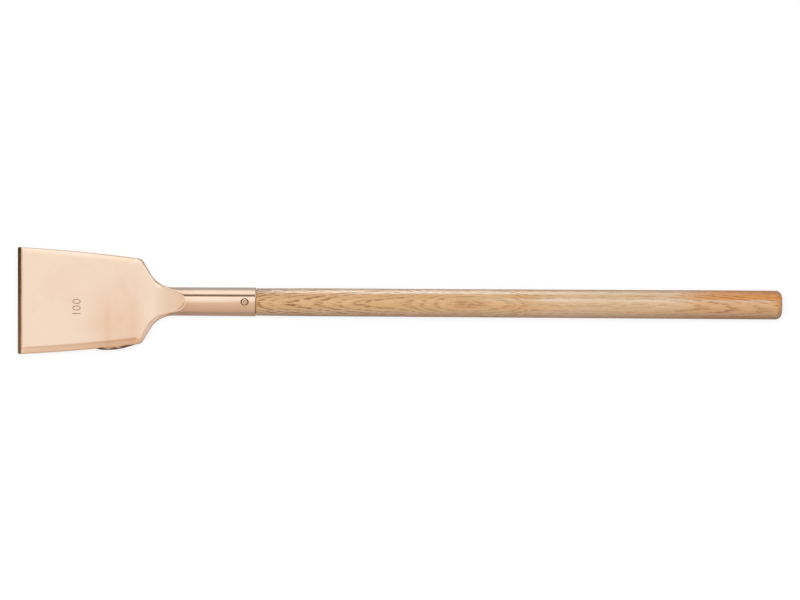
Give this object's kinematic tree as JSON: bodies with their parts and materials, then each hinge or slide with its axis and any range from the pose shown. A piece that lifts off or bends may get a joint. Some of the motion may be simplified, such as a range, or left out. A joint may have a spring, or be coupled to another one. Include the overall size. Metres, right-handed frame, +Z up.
{
  "type": "non-sparking scraper",
  "caption": "Long-handled push scraper: a flat bevelled copper-alloy blade running into a round socket, pinned to a straight turned wooden handle.",
  "frame": {"origin": "on the floor, under the middle of the whole tool, with the tool lying bevel side up on its socket and handle", "axes": "+X runs from the cutting edge to the butt of the handle, +Y across the blade to its plain long side (the gate stub is on -Y), +Z up, square to the blade's face"},
  "size_m": [0.713, 0.0998, 0.0269],
  "materials": {
    "head_bronze": "polished copper alloy, pale pinkish gold, with ground bevel and dark raw gate stub",
    "handle_wood": "turned straight-grained hardwood under a clear satin coat",
    "pin_bronze": "copper alloy, ground flush with the socket, with a dark rim"
  },
  "bodies": {
    "root": {"scraper_head": "head_bronze", "handle": "handle_wood", "fixing_pin": "pin_bronze"}
  },
  "joints": []
}
